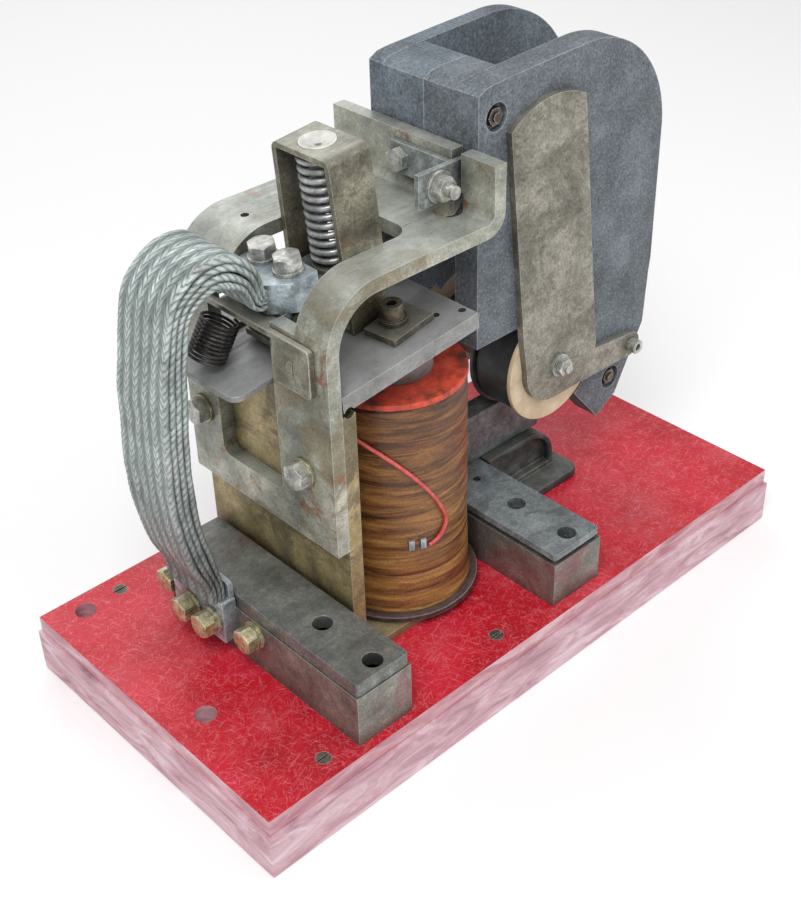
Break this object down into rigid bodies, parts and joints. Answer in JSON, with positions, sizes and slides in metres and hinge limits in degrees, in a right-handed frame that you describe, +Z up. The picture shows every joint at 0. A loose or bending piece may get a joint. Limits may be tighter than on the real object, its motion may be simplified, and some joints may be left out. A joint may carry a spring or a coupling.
{
  "type": "open frame contactor",
  "caption": "Open clapper contactor on a red insulating panel: coil, armature, arc chute, braid and terminal bars.",
  "frame": {"origin": "centre of the panel's underside", "axes": "X along the panel from the front terminal bar to the arc chute, Y across it away from the terminal holes, Z up"},
  "size_m": [0.4676, 0.24, 0.3728],
  "materials": {
    "base_lower_board": "sawn laminated board",
    "base_top_sheet": "red glass polyester sheet",
    "wood_screws": "plain or plated steel",
    "under_screws": "plain or plated steel",
    "front_terminal_block": "plain or plated steel",
    "front_terminal_plate": "plain or plated steel",
    "rear_terminal_block": "plain or plated steel",
    "rear_terminal_plate": "plain or plated steel",
    "side_bolts": "plain or plated steel",
    "side_washers": "plain or plated steel",
    "yoke": "yellow passivated plate",
    "coil_core": "plain or plated steel",
    "coil_winding": "varnished wrapped tape",
    "coil_flange": "dark insulating ring",
    "coil_top_washer": "red-orange enamel",
    "coil_tabs": "plain or plated steel",
    "coil_lead": "red insulated lead",
    "pivot_rod": "plain or plated steel",
    "armature_plate": "grey finish",
    "tail_plate": "grey finish",
    "clamp_plate": "plain or plated steel",
    "clamp_bolt": "plain or plated steel",
    "bracket": "olive passivated plate",
    "leg_bolts": "plain or plated steel",
    "strap": "plain or plated steel",
    "strap_screw": "plain or plated steel",
    "kickout_spring": "dark spring steel",
    "contact_arm": "plain or plated steel",
    "pivot_bracket": "plain or plated steel",
    "arm_pin": "plain or plated steel",
    "contact_spring": "plain or plated steel",
    "spring_seat": "plain or plated steel",
    "spring_housing": "plain or plated steel",
    "spring_boss": "plain or plated steel",
    "housing_screws": "plain or plated steel",
    "braid": "tinned woven braid",
    "upper_lug": "plain or plated steel",
    "lower_lug": "plain or plated steel",
    "lug_bolts": "plain or plated steel",
    "lug_washers": "plain or plated steel",
    "moving_tip": "copper contact",
    "fixed_tip": "copper contact",
    "fixed_post": "dull copper",
    "fixed_bar": "plain or plated steel",
    "support_casting": "dark casting",
    "blowout_coil": "black taped coil",
    "blowout_flange": "black insulating ring",
    "blowout_core": "plain or plated steel",
    "core_spacer": "brown insulating tube",
    "fibre_washers": "tan vulcanised fibre",
    "pole_plates": "plain or plated steel",
    "pole_bolts": "plain or plated steel",
    "chute_near_half": "grey arc-resistant moulding",
    "chute_far_half": "grey arc-resistant moulding",
    "chute_bolts": "plain or plated steel",
    "chute_nuts": "plain or plated steel",
    "arm_screws": "plain or plated steel",
    "stop_angle": "plain or plated steel",
    "stop_bolt": "plain or plated steel",
    "stop_stud": "plain or plated steel"
  },
  "bodies": {
    "base": {"base_lower_board": "base_lower_board", "base_top_sheet": "base_top_sheet", "wood_screws": "wood_screws", "under_screws": "under_screws", "front_terminal_block": "front_terminal_block", "front_terminal_plate": "front_terminal_plate", "rear_terminal_block": "rear_terminal_block", "rear_terminal_plate": "rear_terminal_plate", "side_bolts": "side_bolts", "side_washers": "side_washers", "yoke": "yoke", "coil_core": "coil_core", "coil_winding": "coil_winding", "coil_flange": "coil_flange", "coil_top_washer": "coil_top_washer", "coil_tabs": "coil_tabs", "coil_lead": "coil_lead", "pivot_rod": "pivot_rod", "bracket": "bracket", "leg_bolts": "leg_bolts", "strap": "strap", "strap_screw": "strap_screw", "kickout_spring": "kickout_spring", "braid": "braid", "lower_lug": "lower_lug", "fixed_tip": "fixed_tip", "fixed_post": "fixed_post", "fixed_bar": "fixed_bar", "support_casting": "support_casting", "blowout_coil": "blowout_coil", "blowout_flange": "blowout_flange", "blowout_core": "blowout_core", "core_spacer": "core_spacer", "fibre_washers": "fibre_washers", "pole_plates": "pole_plates", "pole_bolts": "pole_bolts", "chute_near_half": "chute_near_half", "chute_far_half": "chute_far_half", "chute_bolts": "chute_bolts", "chute_nuts": "chute_nuts", "arm_screws": "arm_screws", "stop_angle": "stop_angle", "stop_bolt": "stop_bolt", "stop_stud": "stop_stud"},
    "armature": {"armature_plate": "armature_plate", "tail_plate": "tail_plate", "clamp_plate": "clamp_plate", "clamp_bolt": "clamp_bolt", "pivot_bracket": "pivot_bracket", "arm_pin": "arm_pin", "spring_housing": "spring_housing", "spring_boss": "spring_boss", "housing_screws": "housing_screws", "contact_spring": "contact_spring"},
    "contact_arm": {"contact_arm": "contact_arm", "upper_lug": "upper_lug", "lug_bolts": "lug_bolts", "lug_washers": "lug_washers", "moving_tip": "moving_tip", "spring_seat": "spring_seat"}
  },
  "joints": [
    {"name": "armature_pivot", "type": "hinge", "parent": "base", "child": "armature", "pos_m": [-0.10945, 0.008, 0.2272], "axis": [0, 1, 0], "range_deg": [0, 5.5], "deforming": ["kickout_spring", "braid"]},
    {"name": "arm_wipe", "type": "hinge", "parent": "armature", "child": "contact_arm", "pos_m": [-0.0989, 0.008, 0.26242], "axis": [0, 1, 0], "range_deg": [-1.8, 0], "deforming": ["contact_spring"]}
  ],
  "couplings": [
    {"joint": "arm_wipe", "follows": "armature_pivot", "ratio": -0.32727}
  ]
}
